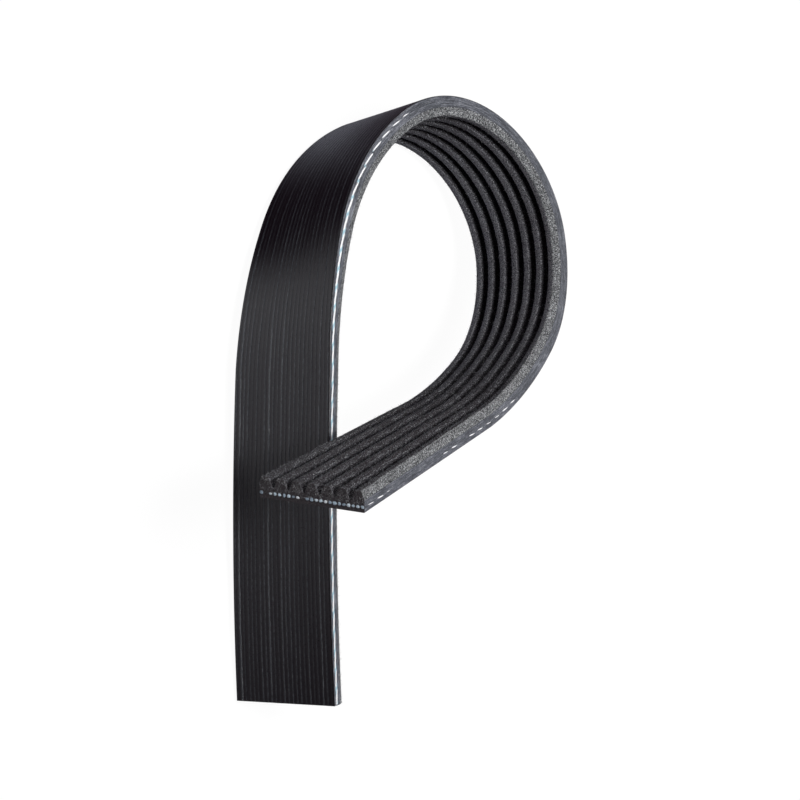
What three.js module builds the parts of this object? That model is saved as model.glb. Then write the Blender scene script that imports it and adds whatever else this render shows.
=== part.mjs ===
// A cut length of seven-rib serpentine belt, curled over on itself and lying on one slit edge.
// Millimetres, +Z up. The run sets off along +X from its cut end, and the curl closes towards -Y.
import * as THREE from 'three';

// Ribs
const RIBS = 7;
const RIB_PITCH = 3.56;
const RIB_TIP_WIDTH = 1.46;
const RIB_TIP_CHAMFER = 0.25;
const RIB_ANGLE = 40;
const GROOVE_FLOOR_WIDTH = 0.5;

// Layers, from the back of the belt to the ribs
const BACKING_THICKNESS = 0.64;
const CORD_DIAMETER = 0.9;
const CORD_CLEARANCE = 0.06;
const CORD_GAP = 0.15;
const CUSHION_THICKNESS = 0.64;
const SLIT_FACE_RISE = 0.35;

// The belt's course: straight run, curl of five bends, straight tail. Each stretch has its length
// along the cord line, how many degrees it turns, and how many it twists about its own line.
const RUN_LENGTH = 72;
const RUN_TURN = 8.3;
const RUN_TWIST = 3.5;
const SHOULDER_LENGTH = 32;
const SHOULDER_TURN = 19.9;
const SHOULDER_TWIST = 11;
const RISE_LENGTH = 35;
const RISE_TURN = 43.6;
const RISE_TWIST = 9;
const CROWN_LENGTH = 60;
const CROWN_TURN = 124.6;
const CROWN_TWIST = 12;
const FALL_LENGTH = 31;
const FALL_TURN = 42.3;
const FALL_TWIST = 8.5;
const RETURN_LENGTH = 33;
const RETURN_TURN = 18.5;
const RETURN_TWIST = 11;
const TAIL_LENGTH = 57;
const TAIL_TWIST = 8;

// How the run lies at rest: how far its line climbs, and how far its upper edge leans off upright
const RUN_CLIMB = 3.7;
const RUN_LEAN = 19.6;

// Fineness of the faceted surfaces
const STEP_TURN = 10;
const STEP_TWIST = 3;
const CORD_SIDES = 6;

const BACK_RUBBER = new THREE.MeshStandardMaterial({ color: 0x232226, roughness: 0.45, metalness: 0 });
const RIB_RUBBER = new THREE.MeshStandardMaterial({ color: 0x3a393b, roughness: 0.85, metalness: 0 });
const CORD_YARN = new THREE.MeshStandardMaterial({ color: 0xdfe6ea, roughness: 0.7, metalness: 0 });

const radians = THREE.MathUtils.degToRad;

const flankSlope = Math.tan(radians(RIB_ANGLE / 2));
const flankReach = (RIB_PITCH - RIB_TIP_WIDTH - GROOVE_FLOOR_WIDTH) / 2;
const ribHeight = flankReach / flankSlope;

// Heights over the cord line, which is the line that keeps its length as the belt turns
const backFace = -CORD_DIAMETER / 2 - CORD_CLEARANCE - BACKING_THICKNESS;
const backingInside = backFace + BACKING_THICKNESS;
const cushionInside = CORD_DIAMETER / 2 + CORD_CLEARANCE;
const grooveFloor = cushionInside + CUSHION_THICKNESS;
const ribTip = grooveFloor + ribHeight;
const slitFaceTop = grooveFloor + SLIT_FACE_RISE;

const outerRibCentre = (RIBS - 1) / 2 * RIB_PITCH;
const outerTipEdge = outerRibCentre + RIB_TIP_WIDTH / 2;
const halfWidth = outerTipEdge + (ribTip - slitFaceTop) * flankSlope;

// Places across the belt where a wide face is divided, so that it follows the twist
function dividers() {
  const places = [];
  for (let groove = 1; groove < RIBS; groove += 1) {
    places.push((groove - RIBS / 2) * RIB_PITCH);
  }
  return places;
}

// One rib's tip, from its near side to its far side, seen from the cut end
function ribPoints(centre) {
  const shoulder = RIB_TIP_WIDTH / 2 + RIB_TIP_CHAMFER * flankSlope;
  const flat = RIB_TIP_WIDTH / 2 - RIB_TIP_CHAMFER;
  return [
    [centre + shoulder, ribTip - RIB_TIP_CHAMFER],
    [centre + flat, ribTip],
    [centre - flat, ribTip],
    [centre - shoulder, ribTip - RIB_TIP_CHAMFER],
  ];
}

// Section of the ribbed body, anticlockwise: cushion face, slit face, ribs and grooves, slit face
function ribbedSection() {
  const points = [[-halfWidth, cushionInside]];
  for (const place of dividers()) {
    points.push([place, cushionInside]);
  }
  points.push([halfWidth, cushionInside], [halfWidth, slitFaceTop]);
  for (let rib = RIBS - 1; rib >= 0; rib -= 1) {
    const centre = rib * RIB_PITCH - outerRibCentre;
    points.push(...ribPoints(centre));
    if (rib > 0) {
      const groove = centre - RIB_PITCH / 2;
      points.push([groove + GROOVE_FLOOR_WIDTH / 2, grooveFloor]);
      points.push([groove - GROOVE_FLOOR_WIDTH / 2, grooveFloor]);
    }
  }
  points.push([-halfWidth, slitFaceTop]);
  return points;
}

function backingSection() {
  const outside = [-halfWidth, ...dividers(), halfWidth].map((place) => [place, backFace]);
  const inside = [-halfWidth, ...dividers(), halfWidth].map((place) => [place, backingInside]);
  return [...outside, ...inside.reverse()];
}

function cordSection(place) {
  const points = [];
  for (let side = 0; side < CORD_SIDES; side += 1) {
    const angle = 2 * Math.PI * side / CORD_SIDES;
    points.push([place + Math.cos(angle) * CORD_DIAMETER / 2, Math.sin(angle) * CORD_DIAMETER / 2]);
  }
  return points;
}

// The cords fill the width from one slit edge to the other, with at least the stated gap between them
function cordPlaces() {
  const reach = halfWidth - CORD_DIAMETER / 2;
  const gaps = Math.floor(2 * reach / (CORD_DIAMETER + CORD_GAP));
  return Array.from({ length: gaps + 1 }, (_, cord) => -reach + 2 * reach * cord / gaps);
}

function stretch(length, turn, twist) {
  return { length, turn: radians(turn), twist: radians(twist) };
}

const COURSE = [
  stretch(RUN_LENGTH, RUN_TURN, RUN_TWIST),
  stretch(SHOULDER_LENGTH, SHOULDER_TURN, SHOULDER_TWIST),
  stretch(RISE_LENGTH, RISE_TURN, RISE_TWIST),
  stretch(CROWN_LENGTH, CROWN_TURN, CROWN_TWIST),
  stretch(FALL_LENGTH, FALL_TURN, FALL_TWIST),
  stretch(RETURN_LENGTH, RETURN_TURN, RETURN_TWIST),
  stretch(TAIL_LENGTH, 0, TAIL_TWIST),
];

// A station is a place on the cord line with three directions: along the belt, across it towards
// the upper slit edge, and inward from the back towards the ribs.
function firstStation() {
  const climb = radians(RUN_CLIMB);
  const lean = radians(RUN_LEAN);
  const along = new THREE.Vector3(Math.cos(climb), 0, Math.sin(climb));
  const upright = new THREE.Vector3(-Math.sin(climb), 0, Math.cos(climb));
  const across = upright.multiplyScalar(Math.cos(lean)).add(new THREE.Vector3(0, -Math.sin(lean), 0));
  const inward = new THREE.Vector3().crossVectors(along, across);
  return { place: new THREE.Vector3(), along, across, inward };
}

// Turning and twisting evenly along a stretch is one screw motion, so its line is an arc of a helix
function stationAfter(start, course, share) {
  const distance = course.length * share;
  const turn = course.turn * share;
  const twist = course.twist * share;
  const angle = Math.hypot(turn, twist);
  const axis = start.along.clone().multiplyScalar(-twist).addScaledVector(start.across, -turn).normalize();
  const straight = axis.clone().multiplyScalar(start.along.dot(axis));
  const round = start.along.clone().sub(straight);
  const sideways = new THREE.Vector3().crossVectors(axis, round);
  const place = start.place.clone().addScaledVector(straight, distance);
  place.addScaledVector(round, distance * Math.sin(angle) / angle);
  place.addScaledVector(sideways, distance * (1 - Math.cos(angle)) / angle);
  return {
    place,
    along: start.along.clone().applyAxisAngle(axis, angle),
    across: start.across.clone().applyAxisAngle(axis, angle),
    inward: start.inward.clone().applyAxisAngle(axis, angle),
  };
}

function courseStations() {
  const stations = [firstStation()];
  for (const course of COURSE) {
    const start = stations.at(-1);
    const turnSteps = Math.ceil(course.turn / radians(STEP_TURN));
    const twistSteps = Math.ceil(course.twist / radians(STEP_TWIST));
    const steps = Math.max(turnSteps, twistSteps, 1);
    for (let step = 1; step <= steps; step += 1) {
      stations.push(stationAfter(start, course, step / steps));
    }
  }
  return stations;
}

// Carries an anticlockwise section along the stations and closes both ends
function sweep(section, stations) {
  const count = section.length;
  const positions = [];
  const faces = [];
  for (const station of stations) {
    for (const [across, inward] of section) {
      const point = station.place.clone();
      point.addScaledVector(station.across, across).addScaledVector(station.inward, inward);
      positions.push(point.x, point.y, point.z);
    }
  }
  for (let ring = 0; ring < stations.length - 1; ring += 1) {
    for (let corner = 0; corner < count; corner += 1) {
      const here = ring * count + corner;
      const next = ring * count + (corner + 1) % count;
      faces.push(here, next, next + count, here, next + count, here + count);
    }
  }
  const outline = section.map(([across, inward]) => new THREE.Vector2(across, inward));
  const last = (stations.length - 1) * count;
  for (const [a, b, c] of THREE.ShapeUtils.triangulateShape(outline, [])) {
    faces.push(c, b, a, last + a, last + b, last + c);
  }
  const geometry = new THREE.BufferGeometry();
  geometry.setAttribute('position', new THREE.Float32BufferAttribute(positions, 3));
  geometry.setIndex(faces);
  geometry.computeVertexNormals();
  return geometry;
}

function piece(name, section, stations, material) {
  const mesh = new THREE.Mesh(sweep(section, stations), material);
  mesh.name = name;
  return mesh;
}

const stations = courseStations();
const belt = new THREE.Group();
belt.add(piece('ribbed_body', ribbedSection(), stations, RIB_RUBBER));
belt.add(piece('backing', backingSection(), stations, BACK_RUBBER));
cordPlaces().forEach((place, index) => {
  const number = String(index + 1).padStart(2, '0');
  belt.add(piece(`tensile_cord_${number}`, cordSection(place), stations, CORD_YARN));
});

// The lowest corner touches the ground, and the origin is under the middle of the belt's box
const box = new THREE.Box3().setFromObject(belt);
const middle = box.getCenter(new THREE.Vector3());
belt.position.set(-middle.x, -middle.y, -box.min.z);

const model = new THREE.Group();
model.add(belt);

export default model;
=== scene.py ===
import math

import bpy
from mathutils import Matrix, Quaternion, Vector


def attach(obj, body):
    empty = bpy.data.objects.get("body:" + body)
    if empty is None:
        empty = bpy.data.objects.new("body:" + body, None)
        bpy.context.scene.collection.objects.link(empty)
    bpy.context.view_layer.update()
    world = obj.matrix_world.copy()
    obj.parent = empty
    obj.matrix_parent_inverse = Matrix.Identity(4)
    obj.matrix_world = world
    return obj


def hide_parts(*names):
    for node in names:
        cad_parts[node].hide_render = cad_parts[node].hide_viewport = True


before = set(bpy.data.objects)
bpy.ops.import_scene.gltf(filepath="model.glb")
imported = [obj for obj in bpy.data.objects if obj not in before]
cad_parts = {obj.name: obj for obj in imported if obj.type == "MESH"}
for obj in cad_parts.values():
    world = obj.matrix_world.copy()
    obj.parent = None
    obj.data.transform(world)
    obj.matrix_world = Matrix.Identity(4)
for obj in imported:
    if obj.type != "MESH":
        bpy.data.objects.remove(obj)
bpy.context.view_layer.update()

# Camera
# It looks down on the resting belt from the side of the run's smooth back, and is rolled so that
# the run stands upright in the picture with the curl at the top, as in the photograph.
EYE = Vector((0.033025, 0.466898, 0.522100))
SIGHT = Vector((-0.05003573, -0.68643406, -0.72546861))
PICTURE_UP = Vector((0.99510211, -0.09626801, 0.0224558))
LENS = 141.04
FILM_WIDTH = 36

scene = bpy.context.scene
camera = bpy.data.objects.new("camera", bpy.data.cameras.new("camera"))
camera.data.lens = LENS
camera.data.sensor_width = FILM_WIDTH
camera.data.clip_start = 0.01
camera.data.clip_end = 20
camera_axes = Matrix((SIGHT.cross(PICTURE_UP), PICTURE_UP, -SIGHT)).transposed()
camera.matrix_world = Matrix.Translation(EYE) @ camera_axes.to_4x4()
scene.collection.objects.link(camera)
scene.camera = camera

# Course of the belt
# The line of the load-carrying cords, which keeps its length as the belt curls: a straight run, a
# curl of five bends and a straight tail, each turning and twisting evenly, as the CAD part has it.
mm = 0.001
COURSE_START = Vector((-63.9972, 25.0910, 11.8609)) * mm
RUN_CLIMB = 3.7
RUN_LEAN = 19.6
STRETCHES = [
    # length in mm, degrees turned, degrees twisted
    (72, 8.3, 3.5),
    (32, 19.9, 11),
    (35, 43.6, 9),
    (60, 124.6, 12),
    (31, 42.3, 8.5),
    (33, 18.5, 11),
    (57, 0, 8),
]
COURSE_STEP = 0.5 * mm
BELT_LENGTH = sum(length for length, turn, twist in STRETCHES) * mm


def first_station():
    climb = math.radians(RUN_CLIMB)
    lean = math.radians(RUN_LEAN)
    along = Vector((math.cos(climb), 0, math.sin(climb)))
    upright = Vector((-math.sin(climb), 0, math.cos(climb)))
    across = upright * math.cos(lean) + Vector((0, -math.sin(lean), 0))
    return COURSE_START, along, across, along.cross(across)


def station_after(start, stretch, share):
    """Turning and twisting evenly is one screw motion, so the line is an arc of a helix."""
    place, along, across, inward = start
    length, turn, twist = stretch
    distance = length * mm * share
    turn = math.radians(turn) * share
    twist = math.radians(twist) * share
    angle = math.hypot(turn, twist)
    axis = (along * -twist + across * -turn).normalized()
    straight = axis * along.dot(axis)
    swing = along - straight
    sideways = axis.cross(swing)
    moved = straight * distance
    moved += swing * (distance * math.sin(angle) / angle)
    moved += sideways * (distance * (1 - math.cos(angle)) / angle)
    turned = Quaternion(axis, angle)
    return place + moved, turned @ along, turned @ across, turned @ inward


def course_stations():
    stations = [first_station()]
    for stretch in STRETCHES:
        start = stations[-1]
        steps = round(stretch[0] * mm / COURSE_STEP)
        for step in range(1, steps + 1):
            stations.append(station_after(start, stretch, step / steps))
    return stations


def course_object():
    """A line of edges, with the belt's across and inward directions kept at each vertex."""
    stations = course_stations()
    mesh = bpy.data.meshes.new("course")
    links = [(index, index + 1) for index in range(len(stations) - 1)]
    mesh.from_pydata([station[0] for station in stations], links, [])
    for name, column in (("across", 2), ("inward", 3)):
        values = [number for station in stations for number in station[column]]
        mesh.attributes.new(name, "FLOAT_VECTOR", "POINT").data.foreach_set("vector", values)
    made = bpy.data.objects.new("course", mesh)
    scene.collection.objects.link(made)
    return made


course = course_object()


def plug(tree, socket, value):
    """Links a node or a socket to an input, or types a value into it."""
    if isinstance(value, bpy.types.Node):
        value = next(output for output in value.outputs if output.enabled)
    if isinstance(value, bpy.types.NodeSocket):
        tree.links.new(value, socket)
    else:
        socket.default_value = value


def add(tree, kind, inputs=None, **settings):
    made = tree.nodes.new(kind)
    for name, value in settings.items():
        setattr(made, name, value)
    for key, value in (inputs or {}).items():
        if isinstance(key, int):
            socket = made.inputs[key]
        else:
            socket = next(entry for entry in made.inputs if entry.name == key and entry.enabled)
        plug(tree, socket, value)
    return made


def maths(tree, operation, *terms):
    return add(tree, "ShaderNodeMath", dict(enumerate(terms)), operation=operation)


def vectors(tree, operation, first, second):
    key = "Scale" if operation == "SCALE" else 1
    return add(tree, "ShaderNodeVectorMath", {0: first, key: second}, operation=operation)


def axes_of(tree, vector):
    return add(tree, "ShaderNodeSeparateXYZ", {0: vector}).outputs


def attribute(tree, name, data_type="FLOAT_VECTOR"):
    return add(tree, "GeometryNodeInputNamedAttribute", {"Name": name}, data_type=data_type)


def from_object(tree, source):
    return add(tree, "GeometryNodeObjectInfo", {"Object": source}).outputs["Geometry"]


def new_tree(name, inputs):
    """A geometry tree with a geometry in and out, and the named inputs given."""
    tree = bpy.data.node_groups.new(name, "GeometryNodeTree")
    tree.interface.new_socket("Geometry", in_out="INPUT", socket_type="NodeSocketGeometry")
    for label, kind in inputs.items():
        tree.interface.new_socket(label, in_out="INPUT", socket_type=kind)
    tree.interface.new_socket("Geometry", in_out="OUTPUT", socket_type="NodeSocketGeometry")
    return tree, tree.nodes.new("NodeGroupInput"), tree.nodes.new("NodeGroupOutput")


def lay_on_course_tree():
    """Takes flat geometry, X across the belt, Y inward and Z along it, and lays it on the course."""
    tree, given, result = new_tree("lay on course", {
        "Course": "NodeSocketObject",
        "Length": "NodeSocketFloat",
    })
    place = add(tree, "GeometryNodeInputPosition")
    flat = axes_of(tree, place)
    kept = add(tree, "GeometryNodeStoreNamedAttribute", {
        "Geometry": given.outputs["Geometry"],
        "Name": "flat",
        "Value": vectors(tree, "SCALE", place, 1 / mm),
    }, data_type="FLOAT_VECTOR", domain="POINT")
    line = add(tree, "GeometryNodeMeshToCurve", {"Mesh": from_object(tree, given.outputs["Course"])})
    inside = add(tree, "ShaderNodeClamp", {"Value": flat["Z"], "Max": given.outputs["Length"]})
    share = maths(tree, "DIVIDE", inside, given.outputs["Length"])
    sampled = {}
    for name in ("across", "inward"):
        sampled[name] = add(tree, "GeometryNodeSampleCurve", {
            "Curves": line,
            "Value": attribute(tree, name),
            "Factor": share,
        }, mode="FACTOR", data_type="FLOAT_VECTOR")
    tangent = sampled["across"].outputs["Tangent"]
    moved = sampled["across"].outputs["Position"]
    overshoot = maths(tree, "SUBTRACT", flat["Z"], inside)
    for direction, reach in (
        (sampled["across"].outputs["Value"], flat["X"]),
        (sampled["inward"].outputs["Value"], flat["Y"]),
        (tangent, overshoot),
    ):
        moved = vectors(tree, "ADD", moved, vectors(tree, "SCALE", direction, reach))
    laid = add(tree, "GeometryNodeSetPosition", {"Geometry": kept, "Position": moved})
    plug(tree, result.inputs["Geometry"], laid)
    return tree


LAY_ON_COURSE = lay_on_course_tree()


def laid_on_course(tree, flat_geometry, given):
    return add(tree, "GeometryNodeGroup", {
        "Geometry": flat_geometry,
        "Course": given.outputs["Course"],
        "Length": given.outputs["Length"],
    }, node_tree=LAY_ON_COURSE)


def made_from(name, mesh, tree, sizes):
    """Evaluates a tree on a mesh, and keeps the result as a plain mesh in an object of its own."""
    seed = bpy.data.objects.new("seed", mesh)
    scene.collection.objects.link(seed)
    modifier = seed.modifiers.new("tree", "NODES")
    modifier.node_group = tree
    for entry in tree.interface.items_tree:
        if entry.in_out == "INPUT" and entry.name in sizes:
            modifier[entry.identifier] = sizes[entry.name]
    graph = bpy.context.evaluated_depsgraph_get()
    result = bpy.data.meshes.new_from_object(seed.evaluated_get(graph), depsgraph=graph)
    seed.modifiers.remove(modifier)
    bpy.data.objects.remove(seed)
    result.name = name
    piece = bpy.data.objects.new(name, result)
    scene.collection.objects.link(piece)
    return piece


# Ribbed body
# The underside of the belt, rubber filled with chopped fibre: a cushion over the cords and seven
# lengthwise ribs, ground to shape from a sleeve that is then slit, so the two edges are cut faces.
RIBS = 7
RIB_PITCH = 3.56 * mm
RIB_TIP_WIDTH = 1.46 * mm
RIB_TIP_RADIUS = 0.30 * mm
RIB_FLANK_ANGLE = math.radians(20)
GROOVE_FLOOR_WIDTH = 0.5 * mm
GROOVE_RADIUS = 0.22 * mm
CORD_DIAMETER = 0.9 * mm
CORD_CLEARANCE = 0.06 * mm
CUSHION_THICKNESS = 0.64 * mm
SLIT_FACE_RISE = 0.35 * mm
SLIT_CORNER_RADIUS = 0.07 * mm
LAYER_SEAM = 0.02 * mm

# Relief of the ground faces: coarse lumps and a finer fuzz, in features per mm. It grows towards the
# tail's cut end, where the rubber is torn, and is less inside the curl, where it is evenly ground.
RIB_ROUGHNESS = 0.038 * mm
LUMPS = 0.45
FUZZ = 1.3
FUZZ_SHARE = 2.4
TORN_REACH = 75 * mm
TORN_ROUGHER = 2.4
CALM_MIDDLE = 198 * mm
CALM_REACH = (22 * mm, 55 * mm)
CALM_RELIEF = 0.7

# Fineness of the mesh, and the angle from which an edge is a sharp one
RIB_STEP = 0.57 * mm
FLANK_STEP = 0.5 * mm
RIB_ARC_STEPS = 3
SAME_PLACE = 0.0001 * mm
SHARP_EDGE = math.radians(55)
# How far from a cut end a face still belongs to it, in mm
CUT_END_SLACK = 0.01

rib_height = (RIB_PITCH - RIB_TIP_WIDTH - GROOVE_FLOOR_WIDTH) / 2 / math.tan(RIB_FLANK_ANGLE)
groove_floor = CORD_DIAMETER / 2 + CORD_CLEARANCE + CUSHION_THICKNESS
rib_tip = groove_floor + rib_height
slit_face_top = groove_floor + SLIT_FACE_RISE
outer_rib = (RIBS - 1) / 2 * RIB_PITCH
outer_tip_edge = outer_rib + RIB_TIP_WIDTH / 2
half_width = outer_tip_edge + (rib_tip - slit_face_top) * math.tan(RIB_FLANK_ANGLE)
outer_flank_begins = outer_tip_edge - RIB_TIP_RADIUS * 0.5
slit_face_begins = half_width - SLIT_CORNER_RADIUS * 0.6


def rounded(corners, arc_steps):
    """An outline through corners given as across, inward and radius, with each radius as an arc."""
    outline = []
    for index, (x, y, radius) in enumerate(corners):
        corner = Vector((x, y))
        if not radius:
            outline.append(corner)
            continue
        before = (Vector(corners[index - 1][:2]) - corner).normalized()
        after = (Vector(corners[(index + 1) % len(corners)][:2]) - corner).normalized()
        half = before.angle(after) / 2
        centre = corner + (before + after).normalized() * (radius / math.sin(half))
        first = corner + before * (radius / math.tan(half)) - centre
        last = corner + after * (radius / math.tan(half)) - centre
        sweep = first.angle_signed(last)
        for step in range(arc_steps + 1):
            outline.append(centre + Matrix.Rotation(-sweep * step / arc_steps, 2) @ first)
    return outline


def divided(outline, wide_step, side):
    """Splits straight lines longer than a step. A line on the hidden side is split coarsely."""
    points = []
    for index, here in enumerate(outline):
        there = outline[(index + 1) % len(outline)]
        hidden = abs(here.y - there.y) < SAME_PLACE and abs(here.y - side) < SAME_PLACE
        limit = RIB_PITCH if hidden else wide_step
        parts = max(1, round((there - here).length / limit))
        points.extend(here.lerp(there, part / parts) for part in range(parts))
    return points


def outline_mesh(name, points):
    mesh = bpy.data.meshes.new(name)
    links = [(index, (index + 1) % len(points)) for index in range(len(points))]
    mesh.from_pydata([(point.x, point.y, 0) for point in points], links, [])
    return mesh


def ribbed_section():
    low = LAYER_SEAM / 2
    corners = [(-half_width, low, 0), (half_width, low, 0)]
    corners.append((half_width, slit_face_top, SLIT_CORNER_RADIUS))
    for rib in reversed(range(RIBS)):
        centre = rib * RIB_PITCH - outer_rib
        for side in (1, -1):
            corners.append((centre + side * RIB_TIP_WIDTH / 2, rib_tip, RIB_TIP_RADIUS))
        if rib:
            for side in (1, -1):
                floor_edge = centre - RIB_PITCH / 2 + side * GROOVE_FLOOR_WIDTH / 2
                corners.append((floor_edge, groove_floor, GROOVE_RADIUS))
    corners.append((-half_width, slit_face_top, SLIT_CORNER_RADIUS))
    return divided(rounded(corners, RIB_ARC_STEPS), FLANK_STEP, low)


def noise_field(tree, scale, stretch=(1, 1, 1), detail=2.0):
    """Noise from -0.5 to 0.5, with its scale in features per millimetre of the flat belt."""
    place = vectors(tree, "SCALE", add(tree, "GeometryNodeInputPosition"), 1 / mm)
    place = vectors(tree, "MULTIPLY", place, stretch)
    noise = add(tree, "ShaderNodeTexNoise", {"Vector": place, "Scale": scale, "Detail": detail})
    return maths(tree, "SUBTRACT", noise, 0.5)


def swept_layer_tree(name, relief, paints):
    """Sweeps a section along the belt, roughens it, and paints faces by where they are when flat."""
    tree, given, result = new_tree(name, {
        "Course": "NodeSocketObject",
        "Length": "NodeSocketFloat",
        "Steps": "NodeSocketInt",
        "Relief": "NodeSocketFloat",
    })
    line = add(tree, "GeometryNodeCurvePrimitiveLine", {
        "End": add(tree, "ShaderNodeCombineXYZ", {"Z": given.outputs["Length"]}),
    })
    line = add(tree, "GeometryNodeResampleCurve", {
        "Curve": line,
        "Count": maths(tree, "ADD", given.outputs["Steps"], 1),
    })
    swept = add(tree, "GeometryNodeCurveToMesh", {
        "Curve": line,
        "Profile Curve": add(tree, "GeometryNodeMeshToCurve", {"Mesh": given.outputs["Geometry"]}),
        "Fill Caps": True,
    })
    outward = vectors(tree, "MULTIPLY", add(tree, "GeometryNodeInputNormal"), (1, 1, 0))
    depth = maths(tree, "MULTIPLY", relief(tree), given.outputs["Relief"])
    swept = add(tree, "GeometryNodeSetPosition", {
        "Geometry": swept,
        "Offset": vectors(tree, "SCALE", outward, depth),
    })
    shown = laid_on_course(tree, swept, given)
    shown = add(tree, "GeometryNodeSetShadeSmooth", {"Geometry": shown, "Shade Smooth": True})
    bend = add(tree, "GeometryNodeInputMeshEdgeAngle").outputs["Unsigned Angle"]
    shown = add(tree, "GeometryNodeSetShadeSmooth", {
        "Geometry": shown,
        "Selection": maths(tree, "GREATER_THAN", bend, SHARP_EDGE),
        "Shade Smooth": False,
    }, domain="EDGE")
    shown = add(tree, "GeometryNodeRealizeInstances", {"Geometry": shown})
    flat = axes_of(tree, attribute(tree, "flat"))
    for material, chosen in paints:
        shown = add(tree, "GeometryNodeSetMaterial", {
            "Geometry": shown,
            "Selection": chosen(tree, flat) if chosen else True,
            "Material": material,
        })
    plug(tree, result.inputs["Geometry"], shown)
    return tree


def away_from(tree, value, place):
    return maths(tree, "ABSOLUTE", maths(tree, "SUBTRACT", value, place))


def ranged(tree, value, low, high, start=0.0, end=1.0, kind="LINEAR"):
    """From low where a value is at its start to high where it is at its end, and no further."""
    return add(tree, "ShaderNodeMapRange", {
        "Value": value,
        "From Min": start,
        "From Max": end,
        "To Min": low,
        "To Max": high,
    }, interpolation_type=kind).outputs[0]


def fade(tree, value, start, end):
    """From 0 where a value is at its start to 1 where it is at its end."""
    return ranged(tree, value, 0.0, 1.0, start, end)


def soft_fade(tree, value, start, end):
    """A fade that eases in and out."""
    return ranged(tree, value, 0.0, 1.0, start, end, "SMOOTHSTEP")


def on_cut_end(tree, flat):
    """The two cut ends are at both limits of the belt's length."""
    middle = BELT_LENGTH / mm / 2
    return maths(tree, "GREATER_THAN", away_from(tree, flat["Z"], middle), middle - CUT_END_SLACK)


def on_slit_face(tree, flat):
    reach = maths(tree, "ABSOLUTE", flat["X"])
    outside = maths(tree, "GREATER_THAN", reach, slit_face_begins / mm)
    return maths(tree, "MULTIPLY", outside, maths(tree, "LESS_THAN", flat["Y"], slit_face_top / mm))


def on_outer_flank(tree, flat):
    return maths(tree, "GREATER_THAN", maths(tree, "ABSOLUTE", flat["X"]), outer_flank_begins / mm)


def calm_share(tree, along, unit):
    """From 1 where the ribs inside the curl are evenly ground to 0 where they are torn and fluffed."""
    away = away_from(tree, along, CALM_MIDDLE / unit)
    return fade(tree, away, CALM_REACH[1] / unit, CALM_REACH[0] / unit)


def rib_relief(tree):
    """Fibre and torn rubber on the ground ribs, and nothing on the slit faces."""
    place = axes_of(tree, add(tree, "GeometryNodeInputPosition"))
    reach = maths(tree, "ABSOLUTE", place["X"])
    ground = maths(tree, "LESS_THAN", reach, half_width - SLIT_CORNER_RADIUS)
    inner = maths(tree, "LESS_THAN", reach, outer_flank_begins)
    torn = ranged(tree, place["Z"], 1.0, TORN_ROUGHER, BELT_LENGTH - TORN_REACH, BELT_LENGTH)
    calm = maths(tree, "MULTIPLY", calm_share(tree, place["Z"], 1), inner)
    strength = maths(tree, "MULTIPLY", torn, maths(tree, "MULTIPLY_ADD", calm, CALM_RELIEF - 1, 1))
    lumps = noise_field(tree, LUMPS, detail=3.0)
    fuzz = maths(tree, "MULTIPLY", noise_field(tree, FUZZ, detail=1.0), FUZZ_SHARE)
    rough = maths(tree, "MULTIPLY", maths(tree, "ADD", lumps, fuzz), strength)
    return maths(tree, "MULTIPLY", rough, ground)


def new_material(name):
    material = bpy.data.materials.new(name)
    material.use_nodes = True
    tree = material.node_tree
    return material, tree, tree.nodes["Principled BSDF"]


def flat_place(tree):
    """Millimetres across, inward and along the flat belt."""
    return add(tree, "ShaderNodeAttribute", attribute_name="flat").outputs["Vector"]


def pattern(tree, scale, stretch=(1, 1, 1), detail=3.0, roughness=0.6):
    """Noise that lies on the flat belt, stretched for its own shape."""
    return add(tree, "ShaderNodeTexNoise", {
        "Vector": vectors(tree, "MULTIPLY", flat_place(tree), stretch),
        "Scale": scale,
        "Detail": detail,
        "Roughness": roughness,
    }).outputs[0]


def graded(tree, value, stops):
    """A colour ramp, its stops given as a place from 0 to 1 and a linear colour."""
    ramp = add(tree, "ShaderNodeValToRGB", {0: value})
    entries = ramp.color_ramp.elements
    while len(entries) < len(stops):
        entries.new(0.5)
    for entry, (place, colour) in zip(entries, stops):
        entry.position = place
        entry.color = (*colour, 1)
    return ramp.outputs["Color"]


def ridge_at(tree, value, place, width):
    """From 0 to 1 where a value is at one place, with soft sides."""
    return soft_fade(tree, away_from(tree, value, place), width, 0.0)


def raised(tree, height, depth, strength=1.0, below=None):
    inputs = {"Height": height, "Distance": depth, "Strength": strength}
    if below:
        inputs["Normal"] = below
    return add(tree, "ShaderNodeBump", inputs).outputs[0]


def near_cut_end(tree, reach):
    """From 1 at a cut end to 0 at a reach in millimetres from it."""
    middle = BELT_LENGTH / mm / 2
    away = away_from(tree, axes_of(tree, flat_place(tree))["Z"], middle)
    return fade(tree, away, middle - reach, middle)


def mixed_colour(tree, share, first, second):
    inputs = {"Factor": share, "A": first, "B": second}
    return add(tree, "ShaderNodeMix", inputs, data_type="RGBA").outputs[2]


# Reach in mm from a cut end
CUT_RIM_REACH = 0.35
CUT_RIM_COLOUR = (0.13, 0.13, 0.14, 1)
# Inside the curl: the share of colour painted by height, as shade in the grooves and light on the tips,
# how far specks break it up, and the bump's strength there
PAINTED_GROOVE_SHADE_SHARE = 0.7
GROOVE_SHADE_SPECKS = 0.70
CALM_BUMP = 0.8


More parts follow.
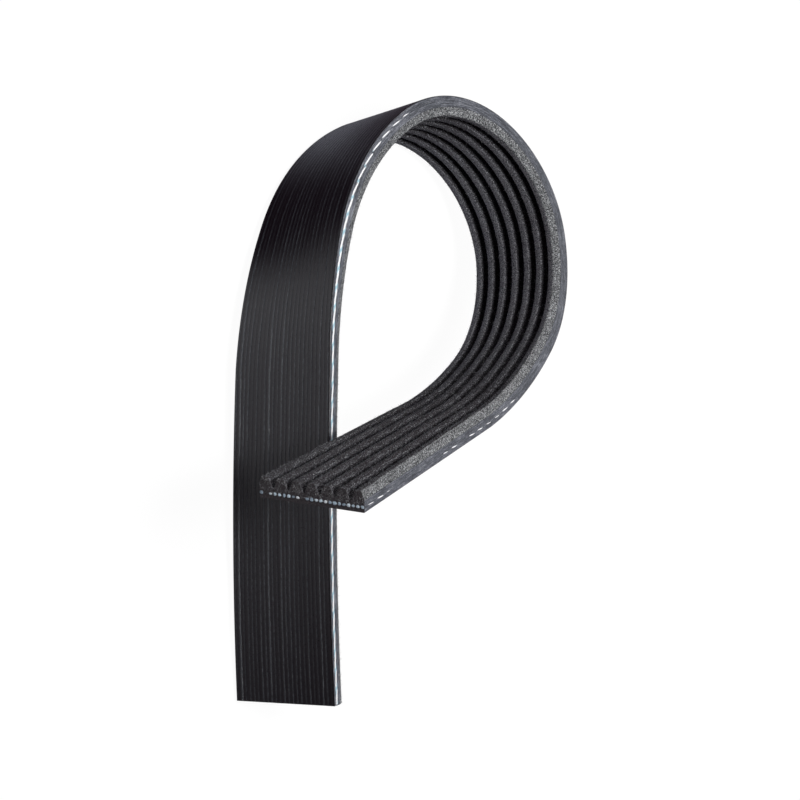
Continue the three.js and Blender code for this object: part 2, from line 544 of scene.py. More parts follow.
def ground_rubber_material(name, stops, stretch, specks_depth, groove_shade_stops=None):
    """Rubber ground open, so that ends of chopped fibre speckle it, and paler along the rim of a cut end.

    Given stops for inside the curl, its colour there is painted by height, with painted shade darkening
    the grooves and painted light leaving the tips alone pale; the ribs there are evenly ground.
    """
    material, tree, surface = new_material(name)
    speck = pattern(tree, 3.2, stretch, detail=4.0, roughness=0.72)
    cloud = ranged(tree, pattern(tree, 0.45), -0.05, 0.05)
    colour = graded(tree, maths(tree, "ADD", speck, cloud), stops)
    bump = 1.0
    if groove_shade_stops:
        flat = axes_of(tree, flat_place(tree))
        calm = calm_share(tree, flat["Z"], mm)
        # Painted shade and light by height, dark at the groove floor and pale at the rib tip
        height = fade(tree, flat["Y"], groove_floor / mm, rib_tip / mm)
        height = maths(tree, "ADD", height, ranged(tree, speck, -GROOVE_SHADE_SPECKS, GROOVE_SHADE_SPECKS))
        share = maths(tree, "MULTIPLY", calm, PAINTED_GROOVE_SHADE_SHARE)
        colour = mixed_colour(tree, share, colour, graded(tree, height, groove_shade_stops))
        bump = ranged(tree, calm, 1.0, CALM_BUMP)
    # Paler, unevenly, along the rim of a cut end
    uneven = ranged(tree, pattern(tree, 2.5), -0.9, 1.9)
    pale_cut_rim = maths(tree, "MULTIPLY", near_cut_end(tree, CUT_RIM_REACH), uneven)
    pale_cut_rim = add(tree, "ShaderNodeClamp", {"Value": pale_cut_rim})
    plug(tree, surface.inputs["Base Color"], mixed_colour(tree, pale_cut_rim, colour, CUT_RIM_COLOUR))
    surface.inputs["Roughness"].default_value = 0.85
    surface.inputs["Specular IOR Level"].default_value = 0.3
    plug(tree, surface.inputs["Normal"], raised(tree, speck, specks_depth, bump))
    return material


STREAK_SHARE = 0.55
SCRATCH_SHARE = 0.3
CLOUD_SHARE = 0.15
# Width in mm of the dark line, and how much of its colour shows
DARK_LINE_WIDTH = 0.13
DARK_LINE_SHARE = 0.75
DARK_LINE_COLOUR = (0.018, 0.018, 0.022, 1)


def slit_face_material():
    """Cut rubber, scored lengthwise by the blade, with a dark line where the ground flank begins."""
    material, tree, surface = new_material("slit_face")
    streak = pattern(tree, 1.0, (7.0, 7.0, 0.30), detail=5.0, roughness=0.75)
    scratch = pattern(tree, 1.0, (5.0, 5.0, 1.6), detail=4.0, roughness=0.7)
    cloud = pattern(tree, 0.12)
    scored = maths(tree, "MULTIPLY", streak, STREAK_SHARE)
    scored = maths(tree, "ADD", scored, maths(tree, "MULTIPLY", scratch, SCRATCH_SHARE))
    scored = maths(tree, "ADD", scored, maths(tree, "MULTIPLY", cloud, CLOUD_SHARE))
    colour = graded(tree, scored, [
        (0.43, (0.032, 0.036, 0.044)),
        (0.49, (0.074, 0.080, 0.096)),
        (0.53, (0.118, 0.125, 0.148)),
        (0.59, (0.275, 0.290, 0.322)),
    ])
    inward = axes_of(tree, flat_place(tree))["Y"]
    dark_line = ridge_at(tree, inward, slit_face_top / mm, DARK_LINE_WIDTH)
    dark_line = maths(tree, "MULTIPLY", dark_line, DARK_LINE_SHARE)
    colour = mixed_colour(tree, dark_line, colour, DARK_LINE_COLOUR)
    plug(tree, surface.inputs["Base Color"], colour)
    plug(tree, surface.inputs["Roughness"], ranged(tree, streak, 0.45, 0.7))
    surface.inputs["Specular IOR Level"].default_value = 0.4
    plug(tree, surface.inputs["Normal"], raised(tree, scored, 0.05 * mm))
    return material


def cut_end_material():
    """Rubber cut square across, dark and crumbly."""
    material, tree, surface = new_material("cut_end")
    crumb = pattern(tree, 3.0, detail=4.0, roughness=0.75)
    colour = graded(tree, crumb, [
        (0.35, (0.014, 0.011, 0.012)),
        (0.52, (0.030, 0.025, 0.028)),
        (0.68, (0.085, 0.078, 0.083)),
    ])
    plug(tree, surface.inputs["Base Color"], colour)
    surface.inputs["Roughness"].default_value = 0.85
    plug(tree, surface.inputs["Normal"], raised(tree, crumb, 0.12 * mm))
    return material


RIB_FLOCK = ground_rubber_material("rib_flock", [
    (0.42, (0.012, 0.009, 0.011)),
    (0.51, (0.032, 0.029, 0.034)),
    (0.58, (0.079, 0.080, 0.088)),
    (0.65, (0.470, 0.488, 0.515)),
], (1.2, 1.2, 1.0), 0.22 * mm, [
    # Inside the curl, painted shade by height, from the groove floor to the rib tips
    (0.00, (0.004, 0.004, 0.005)),
    (0.50, (0.012, 0.011, 0.014)),
    (0.85, (0.024, 0.024, 0.028)),
    (0.94, (0.060, 0.060, 0.067)),
    (1.00, (0.210, 0.208, 0.226)),
])
OUTER_FLANK = ground_rubber_material("ground_flank", [
    (0.40, (0.021, 0.022, 0.023)),
    (0.47, (0.070, 0.073, 0.077)),
    (0.53, (0.153, 0.159, 0.165)),
    (0.61, (0.500, 0.513, 0.522)),
], (0.9, 0.9, 1.4), 0.10 * mm)
SLIT_FACE = slit_face_material()
CUT_END = cut_end_material()

belt_ribs = made_from(
    "belt_ribs",
    outline_mesh("rib section", ribbed_section()),
    swept_layer_tree("ribbed layer", rib_relief, [
        (RIB_FLOCK, None),
        (OUTER_FLANK, on_outer_flank),
        (SLIT_FACE, on_slit_face),
        (CUT_END, on_cut_end),
    ]),
    {
        "Course": course,
        "Length": BELT_LENGTH,
        "Steps": round(BELT_LENGTH / RIB_STEP),
        "Relief": RIB_ROUGHNESS,
    },
)
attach(belt_ribs, "root")
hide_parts("ribbed_body")

# Backing
# The thin cover on the outside of the curl, smooth black rubber moulded over the cords, so the
# cords' pitch shows through as faint lengthwise lines. It is slit together with the ribs.
BACKING_THICKNESS = 0.64 * mm
BACK_CORNER_RADIUS = 0.14 * mm
BACK_STEP = 0.6 * mm
BACK_STEPS_EACH_CORD = 6
BACK_ARC_STEPS = 4
CORDS = 23
CORD_IMPRINT = 0.007 * mm
SWELLS = 7.0
# Cords that print through more than the others, by number from the lower edge, and how strongly
PROUD_CORDS = [(2, 0.9), (9, 0.45), (12, 0.5)]
# Width in mm of the line over a proud cord, and how much all lines brighten the back as a painted
# highlight
PROUD_LINE_WIDTH = 0.45
CREST_HIGHLIGHT_SHARE = 0.6

back_face = -CORD_DIAMETER / 2 - CORD_CLEARANCE - BACKING_THICKNESS
cord_pitch = (2 * half_width - CORD_DIAMETER) / (CORDS - 1)


def backing_section():
    high = -LAYER_SEAM / 2
    corners = [
        (-half_width, back_face, BACK_CORNER_RADIUS),
        (half_width, back_face, BACK_CORNER_RADIUS),
        (half_width, high, 0),
        (-half_width, high, 0),
    ]
    return divided(rounded(corners, BACK_ARC_STEPS), cord_pitch / BACK_STEPS_EACH_CORD, high)


def cord_imprint(tree):
    """One shallow wave for each cord, and slow uneven swells."""
    across = axes_of(tree, add(tree, "GeometryNodeInputPosition"))["X"]
    wave = maths(tree, "COSINE", maths(tree, "MULTIPLY", across, 2 * math.pi / cord_pitch))
    swell = maths(tree, "MULTIPLY", noise_field(tree, 0.5, (1, 1, 0.12)), SWELLS)
    return maths(tree, "ADD", wave, swell)


def on_back(tree, flat):
    return maths(tree, "LESS_THAN", flat["Y"], (back_face + BACK_CORNER_RADIUS * 0.9) / mm)


def back_rubber_material():
    """Satin black, with a broken pale line along the crest over each cord, a painted highlight over a
    bumped ridge, and a fine grain.
    """
    material, tree, surface = new_material("back_rubber")
    across = axes_of(tree, flat_place(tree))["X"]
    sway = ranged(tree, pattern(tree, 1.0, (0.4, 0.0, 0.05), detail=2.0), -0.25, 0.25)
    swayed = maths(tree, "ADD", across, sway)
    wave = maths(tree, "COSINE", maths(tree, "MULTIPLY", swayed, 2 * math.pi * mm / cord_pitch))
    crest = maths(tree, "POWER", ranged(tree, wave, 0.5, 1.0), 2.0)
    uneven = ranged(tree, pattern(tree, 1.0, (0.9, 0.0, 0.012), detail=2.0), -0.5, 2.4)
    broken = ranged(tree, pattern(tree, 1.0, (4.0, 0.0, 0.9), detail=4.0, roughness=0.7), -0.7, 2.5)
    lines = maths(tree, "MULTIPLY", maths(tree, "MULTIPLY", crest, uneven), broken)
    for number, strength in PROUD_CORDS:
        place = (number - (CORDS + 1) / 2) * cord_pitch / mm
        proud = maths(tree, "MULTIPLY", ridge_at(tree, swayed, place, PROUD_LINE_WIDTH), strength)
        lines = maths(tree, "ADD", lines, maths(tree, "MULTIPLY", proud, broken))
    grain = pattern(tree, 5.0)
    # The crest lines brighten the colour as a painted highlight
    painted_crest_highlight = maths(tree, "MULTIPLY", lines, CREST_HIGHLIGHT_SHARE)
    tone = maths(tree, "ADD", painted_crest_highlight, ranged(tree, grain, -0.35, 0.55))
    colour = graded(tree, tone, [
        (0.00, (0.0025, 0.0010, 0.0022)),
        (0.25, (0.0070, 0.0056, 0.0078)),
        (0.60, (0.0230, 0.0250, 0.0290)),
        (1.00, (0.0550, 0.0610, 0.0700)),
    ])
    plug(tree, surface.inputs["Base Color"], colour)
    plug(tree, surface.inputs["Roughness"], ranged(tree, grain, 0.24, 0.34))
    surface.inputs["Specular IOR Level"].default_value = 0.5
    ridges = raised(tree, lines, 0.06 * mm)
    plug(tree, surface.inputs["Normal"], raised(tree, grain, 0.006 * mm, below=ridges))
    return material


BACK_RUBBER = back_rubber_material()

belt_back = made_from(
    "belt_back",
    outline_mesh("backing section", backing_section()),
    swept_layer_tree("backing layer", cord_imprint, [
        (SLIT_FACE, None),
        (BACK_RUBBER, on_back),
        (CUT_END, on_cut_end),
    ]),
    {
        "Course": course,
        "Length": BELT_LENGTH,
        "Steps": round(BELT_LENGTH / BACK_STEP),
        "Relief": CORD_IMPRINT,
    },
)
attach(belt_back, "root")
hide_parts("backing")

# Tensile cords
# White polyester cords of three plies twisted together, wound side by side between the two rubber
# layers. The slitting blade bares the outermost cord where it wanders out to the slit face.
PLIES = 3
PLY_RADIUS = 0.29 * mm
PLY_OFFSET = 0.17 * mm
PLY_TWIST_PITCH = 12.3 * mm
PLY_TWIST_START = 1.7 * mm
PHASE_BETWEEN_CORDS = 1.3
CORD_ENDS_BELOW = 0.25 * mm
INNER_CORD_STEP = 1.6 * mm
INNER_CORD_SIDES = 5
EDGE_CORD_STEP = 0.5 * mm
EDGE_CORD_SIDES = 12
EDGE_CORD_PROUD = 0.03 * mm
# How deep the edge cord's middle lies under the slit face, by place along the belt
EDGE_CORD_DEPTHS = [
    # mm along the belt, mm deep
    (0, 0.21),
    (106, 0.26),
    (114, 0.33),
    (121, 0.375),
    (129, 0.41),
    (137, 0.42),
    (139, 0.51),
    (143, 0.62),
    (247, 0.62),
    (250, 0.43),
    (274, 0.43),
    (276, 0.51),
    (279, 0.43),
    (286, 0.435),
    (289, 0.62),
    (307, 0.62),
    (310, 0.425),
    (320, 0.43),
]
# How far it wanders beyond that, in mm
EDGE_CORD_WANDER = 0.05


def ply_seeds(places):
    """One vertex for each ply, at its cord's place across, with its phase around the cord."""
    mesh = bpy.data.meshes.new("plies")
    mesh.from_pydata([(place, 0, 0) for place in places for ply in range(PLIES)], [], [])
    first = -2 * math.pi * PLY_TWIST_START / PLY_TWIST_PITCH
    phases = []
    for number in range(len(places)):
        for ply in range(PLIES):
            phases.append(first + ply * 2 * math.pi / PLIES + number * PHASE_BETWEEN_CORDS)
    mesh.attributes.new("phase", "FLOAT", "POINT").data.foreach_set("value", phases)
    return mesh


def smooth_piece(tree, shape, material, result):
    """Ends a tree with its shape smooth, real and in its material."""
    shape = add(tree, "GeometryNodeSetShadeSmooth", {"Geometry": shape, "Shade Smooth": True})
    shape = add(tree, "GeometryNodeRealizeInstances", {"Geometry": shape})
    shape = add(tree, "GeometryNodeSetMaterial", {"Geometry": shape, "Material": material})
    plug(tree, result.inputs["Geometry"], shape)


def twisted_cord_tree(name, edge, material):
    """Three plies twisted round each cord. An edge cord wanders, and is cut flush by the blade."""
    tree, given, result = new_tree(name, {
        "Course": "NodeSocketObject",
        "Length": "NodeSocketFloat",
        "Steps": "NodeSocketInt",
        "Sides": "NodeSocketInt",
        "Ply Radius": "NodeSocketFloat",
        "Ply Offset": "NodeSocketFloat",
        "Twist Pitch": "NodeSocketFloat",
        "Proud": "NodeSocketFloat",
        "Face": "NodeSocketFloat",
    })
    first = maths(tree, "MULTIPLY", given.outputs["Proud"], -1)
    last = maths(tree, "ADD", given.outputs["Length"], given.outputs["Proud"])
    line = add(tree, "GeometryNodeCurvePrimitiveLine", {
        "Start": add(tree, "ShaderNodeCombineXYZ", {"Z": first}),
        "End": add(tree, "ShaderNodeCombineXYZ", {"Z": last}),
    })
    line = add(tree, "GeometryNodeResampleCurve", {
        "Curve": line,
        "Count": maths(tree, "ADD", given.outputs["Steps"], 1),
    })
    ring = add(tree, "GeometryNodeCurvePrimitiveCircle", {
        "Resolution": given.outputs["Sides"],
        "Radius": given.outputs["Ply Radius"],
    })
    tube = add(tree, "GeometryNodeCurveToMesh", {"Curve": line, "Profile Curve": ring, "Fill Caps": True})
    plies = add(tree, "GeometryNodeInstanceOnPoints", {
        "Points": add(tree, "GeometryNodeMeshToPoints", {"Mesh": given.outputs["Geometry"]}),
        "Instance": tube,
    })
    plies = add(tree, "GeometryNodeRealizeInstances", {"Geometry": plies})
    along = axes_of(tree, add(tree, "GeometryNodeInputPosition"))["Z"]
    turns = maths(tree, "DIVIDE", along, given.outputs["Twist Pitch"])
    angle = maths(tree, "MULTIPLY_ADD", turns, 2 * math.pi, attribute(tree, "phase", "FLOAT"))
    across = maths(tree, "MULTIPLY", maths(tree, "COSINE", angle), given.outputs["Ply Offset"])
    inward = maths(tree, "MULTIPLY", maths(tree, "SINE", angle), given.outputs["Ply Offset"])
    plies = add(tree, "GeometryNodeStoreNamedAttribute", {
        "Geometry": plies,
        "Name": "facing",
        "Value": maths(tree, "ABSOLUTE", maths(tree, "COSINE", angle)),
    }, data_type="FLOAT", domain="POINT")
    plies = add(tree, "GeometryNodeSetPosition", {
        "Geometry": plies,
        "Offset": add(tree, "ShaderNodeCombineXYZ", {"X": across, "Y": inward}),
    })
    if edge:
        plies = cut_flush(tree, plies, given, edge)
    smooth_piece(tree, laid_on_course(tree, plies, given), material, result)
    return tree


def cut_flush(tree, plies, given, edge):
    """Shifts the cord across by its depth along the belt, then presses what passes the face flat."""
    along = axes_of(tree, add(tree, "GeometryNodeInputPosition"))["Z"]
    share = maths(tree, "DIVIDE", along, given.outputs["Length"])
    depth = add(tree, "ShaderNodeFloatCurve", {"Value": share})
    curve = depth.mapping.curves[0]
    while len(curve.points) < len(EDGE_CORD_DEPTHS):
        curve.points.new(0.5, 0.5)
    for point, (place, deep) in zip(curve.points, EDGE_CORD_DEPTHS):
        point.location = (place * mm / BELT_LENGTH, deep)
        point.handle_type = "VECTOR"
    depth.mapping.update()
    wander = maths(tree, "MULTIPLY", noise_field(tree, 0.12, (0, 0, 1)), EDGE_CORD_WANDER)
    deep = maths(tree, "MULTIPLY", maths(tree, "ADD", depth, wander), mm)
    shift = maths(tree, "MULTIPLY", maths(tree, "SUBTRACT", given.outputs["Face"], deep), edge)
    plies = add(tree, "GeometryNodeSetPosition", {
        "Geometry": plies,
        "Offset": add(tree, "ShaderNodeCombineXYZ", {"X": shift}),
    })
    place = axes_of(tree, add(tree, "GeometryNodeInputPosition"))
    limit = maths(tree, "ADD", given.outputs["Face"], EDGE_CORD_PROUD)
    trimmed = maths(tree, "MINIMUM", maths(tree, "MULTIPLY", place["X"], edge), limit)
    return add(tree, "GeometryNodeSetPosition", {
        "Geometry": plies,
        "Position": add(tree, "ShaderNodeCombineXYZ", {
            "X": maths(tree, "MULTIPLY", trimmed, edge),
            "Y": place["Y"],
            "Z": place["Z"],
        }),
    })


# A ply's facing, 1 towards a slit edge and 0 away from it, where the painted blue shade begins and is
# full
PLY_TWIST_SHADE_FADE = (0.72, 0.50)
PLY_TWIST_SHADE_COLOUR = (0.360, 0.600, 0.700, 1)


def yarn_material():
    """White filaments along each ply, with a pale blue painted shade where a ply turns away and dives
    into the rubber.
    """
    material, tree, surface = new_material("cord_yarn")
    strand = pattern(tree, 1.0, (14.0, 14.0, 1.2))
    colour = graded(tree, strand, [
        (0.30, (0.860, 0.910, 0.930)),
        (0.45, (0.960, 0.970, 0.975)),
        (0.66, (0.990, 0.990, 0.990)),
    ])
    facing = add(tree, "ShaderNodeAttribute", attribute_name="facing").outputs["Fac"]
    # Painted shade: plies turning away from the slit face go pale blue
    ply_twist_shade = fade(tree, facing, *PLY_TWIST_SHADE_FADE)
    plug(tree, surface.inputs["Base Color"], mixed_colour(tree, ply_twist_shade, colour, PLY_TWIST_SHADE_COLOUR))
    surface.inputs["Roughness"].default_value = 0.45
    surface.inputs["Specular IOR Level"].default_value = 0.9
    plug(tree, surface.inputs["Normal"], raised(tree, strand, 0.03 * mm))
    return material


CORD_YARN = yarn_material()
cord_sizes = {
    "Course": course,
    "Length": BELT_LENGTH,
    "Ply Radius": PLY_RADIUS,
    "Ply Offset": PLY_OFFSET,
    "Twist Pitch": PLY_TWIST_PITCH,
    "Proud": -CORD_ENDS_BELOW,
    "Face": half_width,
}
inner_places = [(number - (CORDS - 1) / 2) * cord_pitch for number in range(1, CORDS - 1)]
inner_steps = round(BELT_LENGTH / INNER_CORD_STEP)
inner_cords = made_from(
    "inner_cords",
    ply_seeds(inner_places),
    twisted_cord_tree("inner cords", 0, CORD_YARN),
    {**cord_sizes, "Steps": inner_steps, "Sides": INNER_CORD_SIDES},
)
edge_sizes = {**cord_sizes, "Steps": round(BELT_LENGTH / EDGE_CORD_STEP), "Sides": EDGE_CORD_SIDES}
lower_edge_cord = made_from(
    "lower_edge_cord",
    ply_seeds([0]),
    twisted_cord_tree("lower edge cord", -1, CORD_YARN),
    edge_sizes,
)
upper_edge_cord = made_from(
    "upper_edge_cord",
    ply_seeds([0]),
    twisted_cord_tree("upper edge cord", 1, CORD_YARN),
    edge_sizes,
)
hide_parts(*[f"tensile_cord_{number:02d}" for number in range(2, CORDS)])
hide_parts("tensile_cord_01")
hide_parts(f"tensile_cord_{CORDS:02d}")
for piece in (inner_cords, lower_edge_cord, upper_edge_cord):
    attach(piece, "root")

# Cord ends
# Where the belt is cut across, each cord's end stands a little out of the rubber as a crushed tuft
# of filaments, blue-grey and uneven, and a few have been pulled in or smeared dark.
CORD_END_RADIUS = 0.37 * mm
CORD_END_STANDS = 0.14 * mm
CORD_END_RAGGED = 0.16 * mm
CORD_ENDS_LOST = 0.12
CORD_END_SEED = 5
TINT_SHARE = 0.6
FILAMENT_SHARE = 0.5


def cord_end_seeds():
    """A vertex at each cord's end at both cuts of the flat belt."""
    mesh = bpy.data.meshes.new("cord ends")
    places = [(number - (CORDS - 1) / 2) * cord_pitch for number in range(CORDS)]
    mesh.from_pydata([(place, 0, end) for end in (0, BELT_LENGTH) for place in places], [], [])
    return mesh


def cord_end_tree(material):
    tree, given, result = new_tree("cord ends", {
        "Course": "NodeSocketObject",
        "Length": "NodeSocketFloat",
        "Radius": "NodeSocketFloat",
        "Stands": "NodeSocketFloat",
        "Ragged": "NodeSocketFloat",
        "Seed": "NodeSocketInt",
    })
    seed = given.outputs["Seed"]
    luck = add(tree, "FunctionNodeRandomValue", {"Min": 0.0, "Max": 1.0, "Seed": seed}, data_type="FLOAT")
    points = add(tree, "GeometryNodeStoreNamedAttribute", {
        "Geometry": add(tree, "GeometryNodeMeshToPoints", {"Mesh": given.outputs["Geometry"]}),
        "Name": "tint",
        "Value": luck,
    }, data_type="FLOAT", domain="POINT")
    stretch = add(tree, "FunctionNodeRandomValue", {
        "Min": (0.8, 0.7, 0.6),
        "Max": (1.25, 1.1, 1.5),
        "Seed": maths(tree, "ADD", seed, 1),
    }, data_type="FLOAT_VECTOR")
    flattened = add(tree, "ShaderNodeCombineXYZ", {
        "X": given.outputs["Radius"],
        "Y": given.outputs["Radius"],
        "Z": given.outputs["Stands"],
    })
    ends = add(tree, "GeometryNodeInstanceOnPoints", {
        "Points": points,
        "Selection": maths(tree, "GREATER_THAN", luck, CORD_ENDS_LOST),
        "Instance": add(tree, "GeometryNodeMeshIcoSphere", {"Radius": 1.0, "Subdivisions": 4}),
        "Scale": vectors(tree, "MULTIPLY", flattened, stretch),
    })
    ends = add(tree, "GeometryNodeRealizeInstances", {"Geometry": ends})
    noise = noise_field(tree, 2.2, (1, 1, 0.2), detail=3.0)
    ragged = maths(tree, "MULTIPLY", maths(tree, "MULTIPLY", noise, given.outputs["Ragged"]), 2)
    ends = add(tree, "GeometryNodeSetPosition", {
        "Geometry": ends,
        "Offset": vectors(tree, "SCALE", add(tree, "GeometryNodeInputNormal"), ragged),
    })
    smooth_piece(tree, laid_on_course(tree, ends, given), material, result)
    return tree


def crushed_yarn_material():
    """Blue-grey filaments, each cord's end in a tint of its own."""
    material, tree, surface = new_material("crushed_yarn")
    filament = pattern(tree, 5.0, roughness=0.7)
    tint = add(tree, "ShaderNodeAttribute", attribute_name="tint").outputs["Fac"]
    tint = maths(tree, "MULTIPLY", tint, TINT_SHARE)
    tone = maths(tree, "ADD", tint, maths(tree, "MULTIPLY", filament, FILAMENT_SHARE))
    colour = graded(tree, tone, [
        (0.25, (0.060, 0.066, 0.080)),
        (0.38, (0.300, 0.390, 0.480)),
        (0.70, (0.560, 0.680, 0.760)),
        (0.90, (0.880, 0.920, 0.940)),
    ])
    plug(tree, surface.inputs["Base Color"], colour)
    surface.inputs["Roughness"].default_value = 0.7
    plug(tree, surface.inputs["Normal"], raised(tree, filament, 0.1 * mm))
    return material


cord_ends = made_from("cord_ends", cord_end_seeds(), cord_end_tree(crushed_yarn_material()), {
    "Course": course,
    "Length": BELT_LENGTH,
    "Radius": CORD_END_RADIUS,
    "Stands": CORD_END_STANDS,
    "Ragged": CORD_END_RAGGED,
    "Seed": CORD_END_SEED,
})
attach(cord_ends, "root")
bpy.data.objects.remove(course)

# Chopped fibre
# Short cotton fibres mixed into the rib rubber. Grinding and cutting leave their tips standing, so
# they lie as pale hairs on the ribs, thickest on the outer flanks and at the cut ends.
FIBRE_LENGTH = (0.25 * mm, 0.75 * mm)
FIBRE_RADIUS = 0.022 * mm
FIBRE_SIDES = 3
FIBRES_ON_RIBS = 1.3 / mm ** 2
FIBRES_ON_OUTER_FLANK = 5.0 / mm ** 2
FIBRES_ON_CUT_END = 14.0 / mm ** 2
FIBRE_LIFT = 0.45
FIBRE_SEED = 11
# How far below the groove floor fibres still stand, in mm
FIBRES_BELOW_GROOVE = 0.1


def chopped_fibre_tree(material):
    """Scatters slivers over the ribs, each lying nearly flat and turned at random."""
    tree, given, result = new_tree("chopped fibre", {
        "Ribs": "NodeSocketObject",
        "On Ribs": "NodeSocketFloat",
        "On Outer Flank": "NodeSocketFloat",
        "On Cut End": "NodeSocketFloat",
        "Radius": "NodeSocketFloat",
        "Shortest": "NodeSocketFloat",
        "Longest": "NodeSocketFloat",
        "Lift": "NodeSocketFloat",
        "Seed": "NodeSocketInt",
    })
    seed = given.outputs["Seed"]
    flat = axes_of(tree, attribute(tree, "flat"))
    ground = maths(tree, "SUBTRACT", 1.0, on_slit_face(tree, flat))
    above_cushion = maths(tree, "GREATER_THAN", flat["Y"], groove_floor / mm - FIBRES_BELOW_GROOVE)
    ribbed = maths(tree, "MULTIPLY", ground, above_cushion)
    density = maths(tree, "MULTIPLY", ribbed, given.outputs["On Ribs"])
    flank = maths(tree, "MULTIPLY", on_outer_flank(tree, flat), ground)
    density = maths(tree, "MULTIPLY_ADD", flank, given.outputs["On Outer Flank"], density)
    density = maths(tree, "MULTIPLY_ADD", on_cut_end(tree, flat), given.outputs["On Cut End"], density)
    scatter = add(tree, "GeometryNodeDistributePointsOnFaces", {
        "Mesh": from_object(tree, given.outputs["Ribs"]),
        "Density": density,
        "Seed": seed,
    }, distribute_method="RANDOM")
    spread = add(tree, "FunctionNodeRandomValue", {
        "Min": (-1.0, -1.0, -1.0),
        "Max": (1.0, 1.0, 1.0),
        "Seed": maths(tree, "ADD", seed, 1),
    }, data_type="FLOAT_VECTOR")
    lift = vectors(tree, "SCALE", scatter.outputs["Normal"], given.outputs["Lift"])
    length = add(tree, "FunctionNodeRandomValue", {
        "Min": given.outputs["Shortest"],
        "Max": given.outputs["Longest"],
        "Seed": maths(tree, "ADD", seed, 2),
    }, data_type="FLOAT")
    fibres = add(tree, "GeometryNodeInstanceOnPoints", {
        "Points": scatter.outputs["Points"],
        "Instance": add(tree, "GeometryNodeMeshCone", {
            "Vertices": FIBRE_SIDES,
            "Radius Top": 0.0,
            "Radius Bottom": given.outputs["Radius"],
            "Depth": 1.0,
        }),
        "Rotation": add(tree, "FunctionNodeAlignRotationToVector", {
            "Vector": vectors(tree, "ADD", spread, lift),
        }, axis="Z"),
        "Scale": add(tree, "ShaderNodeCombineXYZ", {"X": 1.0, "Y": 1.0, "Z": length}),
    })
    fibres = add(tree, "GeometryNodeRealizeInstances", {"Geometry": fibres})
    fibres = add(tree, "GeometryNodeSetMaterial", {"Geometry": fibres, "Material": material})
    plug(tree, result.inputs["Geometry"], fibres)
    return tree


def fibre_material():
    material, tree, surface = new_material("chopped_fibre")
    place = add(tree, "ShaderNodeTexCoord").outputs["Object"]
    shade = add(tree, "ShaderNodeTexNoise", {"Vector": place, "Scale": 900.0, "Detail": 2.0}).outputs[0]
    colour = graded(tree, shade, [
        (0.35, (0.060, 0.060, 0.064)),
        (0.55, (0.300, 0.305, 0.315)),
        (0.70, (0.650, 0.660, 0.680)),
    ])
    plug(tree, surface.inputs["Base Color"], colour)
    surface.inputs["Roughness"].default_value = 0.8
    return material


fibre_tree = chopped_fibre_tree(fibre_material())
rib_fibres = made_from("rib_fibres", bpy.data.meshes.new("fibres"), fibre_tree, {
    "Ribs": belt_ribs,
    "On Ribs": FIBRES_ON_RIBS,
    "On Outer Flank": FIBRES_ON_OUTER_FLANK,
    "On Cut End": FIBRES_ON_CUT_END,
    "Radius": FIBRE_RADIUS,
    "Shortest": FIBRE_LENGTH[0],
    "Longest": FIBRE_LENGTH[1],
    "Lift": FIBRE_LIFT,
    "Seed": FIBRE_SEED,
})
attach(rib_fibres, "root")

# Floor and light
# A studio floor that the camera sees as white with a soft shadow, under a key lamp nearly overhead
# that rakes over the ribs. To the belt itself the floor is painted: a dark sheet with a white patch
# beside the run and a faint grey one beside the shoulder, painted reflections that give the black
# back its soft sheen.
FLOOR_REACH = 3.0
FLOOR_GLOW = 1.02
FLOOR_GLOW_SHARE = 0.94
FLOOR_SEEN_ALBEDO = 0.9
# What the belt sees on the floor: a painted dark sheet, and patches that are painted reflections
PAINTED_DARK_SHEET_COLOUR = (0.050, 0.030, 0.046, 1)
RUN_REFLECTION_PATCH_COLOUR = (0.88, 0.89, 0.93, 1)
RUN_PATCH_FADES_IN = (-0.100, 0.018)
RUN_PATCH_EDGE_ANGLE = math.radians(-48)
RUN_PATCH_EDGE = (0.0135, -0.0040)
SHOULDER_REFLECTION_PATCH_COLOUR = (0.40, 0.41, 0.48, 1)
SHOULDER_PATCH_NEAR = (0.010, -0.012)
SHOULDER_PATCH_FAR = (0.076, 0.060)
SURROUND = 0.06
SURROUND_COLOUR = (1.0, 0.80, 0.95, 1)
LAMPS_POINT_AT = Vector((0.01, 0, 0.03))


def painted_reflection_sheet(tree):
    """What the floor is to the belt: a painted dark sheet, with painted reflection patches beside the run
    and beside the shoulder.
    """
    place = add(tree, "ShaderNodeTexCoord").outputs["Object"]
    axes = axes_of(tree, place)
    past_edge = add(tree, "ShaderNodeVectorMath", {
        0: place,
        1: (math.cos(RUN_PATCH_EDGE_ANGLE), math.sin(RUN_PATCH_EDGE_ANGLE), 0),
    }, operation="DOT_PRODUCT").outputs["Value"]
    run = fade(tree, axes["X"], *RUN_PATCH_FADES_IN)
    run = maths(tree, "MULTIPLY", run, soft_fade(tree, past_edge, *RUN_PATCH_EDGE))
    near = soft_fade(tree, axes["Y"], *SHOULDER_PATCH_NEAR)
    shoulder = maths(tree, "MULTIPLY", near, soft_fade(tree, axes["X"], *SHOULDER_PATCH_FAR))
    sheet = mixed_colour(tree, run, PAINTED_DARK_SHEET_COLOUR, RUN_REFLECTION_PATCH_COLOUR)
    return mixed_colour(tree, shoulder, sheet, SHOULDER_REFLECTION_PATCH_COLOUR)


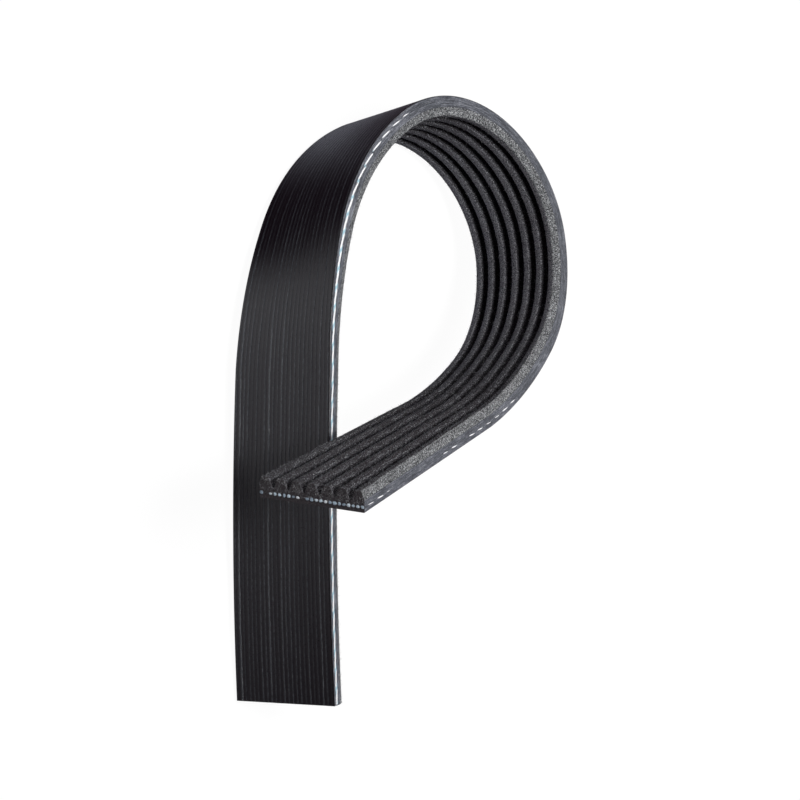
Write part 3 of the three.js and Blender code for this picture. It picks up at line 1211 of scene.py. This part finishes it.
def studio_floor():
    mesh = bpy.data.meshes.new("floor")
    corners = [(x * FLOOR_REACH, y * FLOOR_REACH, 0) for x, y in ((-1, -1), (1, -1), (1, 1), (-1, 1))]
    mesh.from_pydata(corners, [], [(0, 1, 2, 3)])
    floor = bpy.data.objects.new("floor", mesh)
    scene.collection.objects.link(floor)
    material, tree, surface = new_material("floor_white_with_painted_reflections")
    seen = add(tree, "ShaderNodeLightPath").outputs["Is Camera Ray"]
    surface.inputs["Roughness"].default_value = 1.0
    surface.inputs["Specular IOR Level"].default_value = 0.0
    white = (FLOOR_SEEN_ALBEDO, FLOOR_SEEN_ALBEDO, FLOOR_SEEN_ALBEDO, 1)
    plug(tree, surface.inputs["Base Color"], mixed_colour(tree, seen, painted_reflection_sheet(tree), white))
    glow = add(tree, "ShaderNodeEmission", {"Color": (1, 1, 1, 1), "Strength": FLOOR_GLOW})
    share = maths(tree, "MULTIPLY", seen, FLOOR_GLOW_SHARE)
    mixed = add(tree, "ShaderNodeMixShader", {0: share, 1: surface, 2: glow})
    plug(tree, tree.nodes["Material Output"].inputs["Surface"], mixed)
    mesh.materials.append(material)


def soft_lamp(name, place, size, power):
    """A square lamp that points at the belt, and that the camera doesn't see."""
    lamp = bpy.data.objects.new(name, bpy.data.lights.new(name, "AREA"))
    lamp.data.shape = "SQUARE"
    lamp.data.size = size
    lamp.data.energy = power
    lamp.location = place
    lamp.rotation_euler = (LAMPS_POINT_AT - Vector(place)).to_track_quat("-Z", "Y").to_euler()
    lamp.visible_camera = False
    scene.collection.objects.link(lamp)


def surround():
    world = bpy.data.worlds.new("surround")
    world.use_nodes = True
    tree = world.node_tree
    background = tree.nodes["Background"]
    seen = add(tree, "ShaderNodeLightPath").outputs["Is Camera Ray"]
    plug(tree, background.inputs["Color"], mixed_colour(tree, seen, SURROUND_COLOUR, (1, 1, 1, 1)))
    plug(tree, background.inputs["Strength"], ranged(tree, seen, SURROUND, 1.0))
    scene.world = world


studio_floor()
soft_lamp("key", (0.07, 0.11, 0.90), 0.25, 7.1)
soft_lamp("fill", (0.52, -0.24, 0.50), 0.4, 1.0)
soft_lamp("rim", (0.10, -0.80, 0.30), 0.5, 1.1)
surround()
scene.view_settings.view_transform = "Standard"
